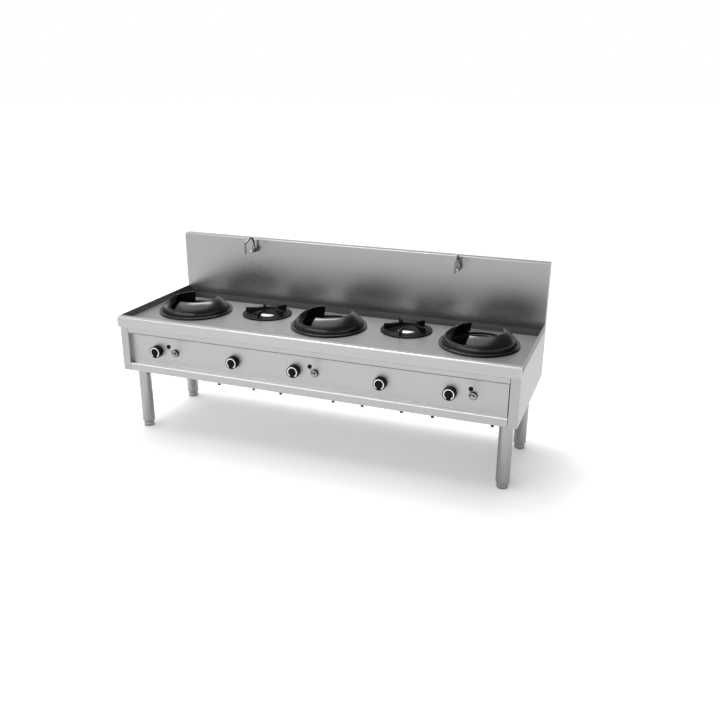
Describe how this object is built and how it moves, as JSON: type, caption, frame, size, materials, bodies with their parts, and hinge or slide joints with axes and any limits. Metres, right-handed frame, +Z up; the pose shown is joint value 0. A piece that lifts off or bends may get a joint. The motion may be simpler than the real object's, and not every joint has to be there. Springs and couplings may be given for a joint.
{
  "type": "wok range",
  "caption": "Freestanding stainless gas wok range: domed cast wok rings, finned pan supports, rear gutter, splashback with swivel taps, recessed knob panel, round legs.",
  "frame": {"origin": "on the floor under the middle of the range's overall box", "axes": "+X to the right along the length as seen from the front, +Y towards the splashback, +Z up"},
  "size_m": [2.4, 0.8778, 1.1201],
  "materials": {
    "satin_steel": "satin",
    "inner_steel": "satin",
    "chrome": "polished",
    "cast_iron": "satin black",
    "brass": "satin",
    "black_plastic": "satin"
  },
  "bodies": {
    "frame": {"worktop": "satin_steel", "rear_gutter": "inner_steel", "gutter_drain": "inner_steel", "backsplash": "satin_steel", "front_lip": "satin_steel", "left_rim": "satin_steel", "right_rim": "satin_steel", "left_side_panel": "satin_steel", "right_side_panel": "satin_steel", "back_panel": "inner_steel", "deck_panel": "inner_steel", "control_panel": "satin_steel", "top_rail": "satin_steel", "bottom_rail": "satin_steel", "gas_main": "inner_steel", "front_left_leg": "satin_steel", "front_right_leg": "satin_steel", "rear_left_leg": "satin_steel", "rear_right_leg": "satin_steel", "wok_well_1": "inner_steel", "wok_burner_1": "cast_iron", "lever_valve_1": "chrome", "wok_well_3": "inner_steel", "wok_burner_3": "cast_iron", "lever_valve_3": "chrome", "wok_well_5": "inner_steel", "wok_burner_5": "cast_iron", "lever_valve_5": "chrome", "pan_well_2": "inner_steel", "pan_burner_2": "cast_iron", "pan_well_4": "inner_steel", "pan_burner_4": "cast_iron", "gas_valve_1": "brass", "gas_valve_2": "brass", "gas_valve_3": "brass", "gas_valve_4": "brass", "gas_valve_5": "brass", "left_tap": "chrome", "right_tap": "chrome"},
    "front_left_foot": {"front_left_foot": "inner_steel"},
    "front_right_foot": {"front_right_foot": "inner_steel"},
    "rear_left_foot": {"rear_left_foot": "inner_steel"},
    "rear_right_foot": {"rear_right_foot": "inner_steel"},
    "wok_ring_1": {"wok_ring_1": "cast_iron"},
    "wok_ring_3": {"wok_ring_3": "cast_iron"},
    "wok_ring_5": {"wok_ring_5": "cast_iron"},
    "pan_support_2": {"pan_support_2": "cast_iron"},
    "pan_support_4": {"pan_support_4": "cast_iron"},
    "knob_1": {"knob_1": "black_plastic"},
    "knob_2": {"knob_2": "black_plastic"},
    "knob_3": {"knob_3": "black_plastic"},
    "knob_4": {"knob_4": "black_plastic"},
    "knob_5": {"knob_5": "black_plastic"},
    "lever_1": {"lever_1": "chrome"},
    "lever_3": {"lever_3": "chrome"},
    "lever_5": {"lever_5": "chrome"},
    "left_spout": {"left_spout": "chrome"},
    "left_tap_handle": {"left_tap_handle": "chrome"},
    "right_spout": {"right_spout": "chrome"},
    "right_tap_handle": {"right_tap_handle": "chrome"}
  },
  "joints": [
    {"name": "front_left_foot_height", "type": "slide", "parent": "frame", "child": "front_left_foot", "axis": [0, 0, -1], "range_m": [0, 0.04]},
    {"name": "front_right_foot_height", "type": "slide", "parent": "frame", "child": "front_right_foot", "axis": [0, 0, -1], "range_m": [0, 0.04]},
    {"name": "rear_left_foot_height", "type": "slide", "parent": "frame", "child": "rear_left_foot", "axis": [0, 0, -1], "range_m": [0, 0.04]},
    {"name": "rear_right_foot_height", "type": "slide", "parent": "frame", "child": "rear_right_foot", "axis": [0, 0, -1], "range_m": [0, 0.04]},
    {"name": "wok_ring_1_lift", "type": "slide", "parent": "frame", "child": "wok_ring_1", "axis": [0, 0, 1], "range_m": [0, 0.43]},
    {"name": "wok_ring_3_lift", "type": "slide", "parent": "frame", "child": "wok_ring_3", "axis": [0, 0, 1], "range_m": [0, 0.43]},
    {"name": "wok_ring_5_lift", "type": "slide", "parent": "frame", "child": "wok_ring_5", "axis": [0, 0, 1], "range_m": [0, 0.43]},
    {"name": "pan_support_2_lift", "type": "slide", "parent": "frame", "child": "pan_support_2", "axis": [0, 0, 1], "range_m": [0, 0.43]},
    {"name": "pan_support_4_lift", "type": "slide", "parent": "frame", "child": "pan_support_4", "axis": [0, 0, 1], "range_m": [0, 0.43]},
    {"name": "knob_1_turn", "type": "hinge", "parent": "frame", "child": "knob_1", "pos_m": [-0.967, -0.3591, 0.538], "axis": [0, -1, 0], "range_deg": [0, 180]},
    {"name": "knob_2_turn", "type": "hinge", "parent": "frame", "child": "knob_2", "pos_m": [-0.454, -0.3591, 0.538], "axis": [0, -1, 0], "range_deg": [0, 180]},
    {"name": "knob_3_turn", "type": "hinge", "parent": "frame", "child": "knob_3", "pos_m": [-0.067, -0.3591, 0.538], "axis": [0, -1, 0], "range_deg": [0, 180]},
    {"name": "knob_4_turn", "type": "hinge", "parent": "frame", "child": "knob_4", "pos_m": [0.446, -0.3591, 0.538], "axis": [0, -1, 0], "range_deg": [0, 180]},
    {"name": "knob_5_turn", "type": "hinge", "parent": "frame", "child": "knob_5", "pos_m": [0.833, -0.3591, 0.538], "axis": [0, -1, 0], "range_deg": [0, 180]},
    {"name": "lever_1_turn", "type": "hinge", "parent": "frame", "child": "lever_1", "pos_m": [-0.844, -0.3844, 0.538], "axis": [0, 1, 0], "range_deg": [0, 90]},
    {"name": "lever_3_turn", "type": "hinge", "parent": "frame", "child": "lever_3", "pos_m": [0.056, -0.3844, 0.538], "axis": [0, 1, 0], "range_deg": [0, 90]},
    {"name": "lever_5_turn", "type": "hinge", "parent": "frame", "child": "lever_5", "pos_m": [0.956, -0.3844, 0.538], "axis": [0, 1, 0], "range_deg": [0, 90]},
    {"name": "left_spout_swivel", "type": "hinge", "parent": "frame", "child": "left_spout", "pos_m": [-0.6745, 0.3559, 1.0623], "axis": [0, 0, 1], "range_deg": [-85, 85]},
    {"name": "left_tap_handle_turn", "type": "hinge", "parent": "frame", "child": "left_tap_handle", "pos_m": [-0.6745, 0.3454, 1.031], "axis": [0, -1, 0], "range_deg": [0, 180]},
    {"name": "right_spout_swivel", "type": "hinge", "parent": "frame", "child": "right_spout", "pos_m": [0.6745, 0.3559, 1.0623], "axis": [0, 0, 1], "range_deg": [-90, 80]},
    {"name": "right_tap_handle_turn", "type": "hinge", "parent": "frame", "child": "right_tap_handle", "pos_m": [0.6745, 0.3454, 1.031], "axis": [0, -1, 0], "range_deg": [0, 180]}
  ]
}
